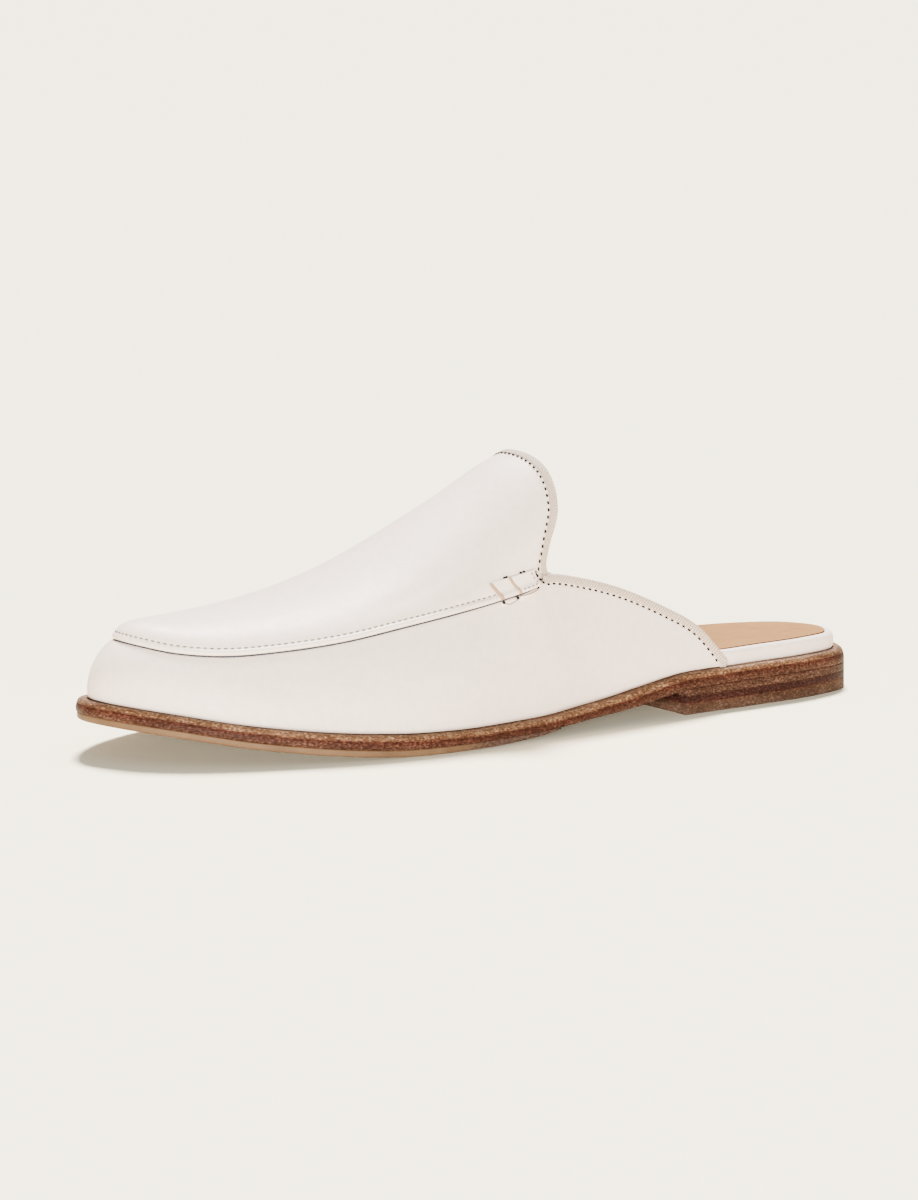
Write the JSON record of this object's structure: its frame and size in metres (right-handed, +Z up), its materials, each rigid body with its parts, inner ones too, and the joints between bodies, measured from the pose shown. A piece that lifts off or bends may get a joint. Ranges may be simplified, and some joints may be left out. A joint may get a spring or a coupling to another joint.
{
  "type": "mule shoe",
  "caption": "Flat backless loafer mule for the left foot: raised-seam apron and tongue, leather sole with a low stacked heel, elastic gore in the inner wing.",
  "frame": {"origin": "on the floor under the middle of the shoe's bounding box", "axes": "+Z up; +Y from the toe towards the heel, so the toe points to -Y; +X to the outer side of the left foot"},
  "size_m": [0.0939, 0.2658, 0.0818],
  "materials": {
    "burnished_leather": "waxed reddish-brown leather edge with a lighter tan lip",
    "tan_rubber": "matte tan rubber",
    "dark_leather": "dark burnished stacked leather",
    "brown_rubber": "matte brown rubber",
    "white_leather": "smooth off-white leather with a soft sheen",
    "tan_leather": "matte natural tan lining leather",
    "beige_elastic": "fine ribbed beige elastic and grosgrain",
    "dark_thread": "dark waxed thread"
  },
  "bodies": {
    "root": {"outsole": "burnished_leather", "half_sole": "tan_rubber", "heel_base": "burnished_leather", "heel_lift": "dark_leather", "heel_top_lift": "brown_rubber", "footbed": "white_leather", "upper": "white_leather", "elastic_gore": "beige_elastic"}
  },
  "joints": []
}
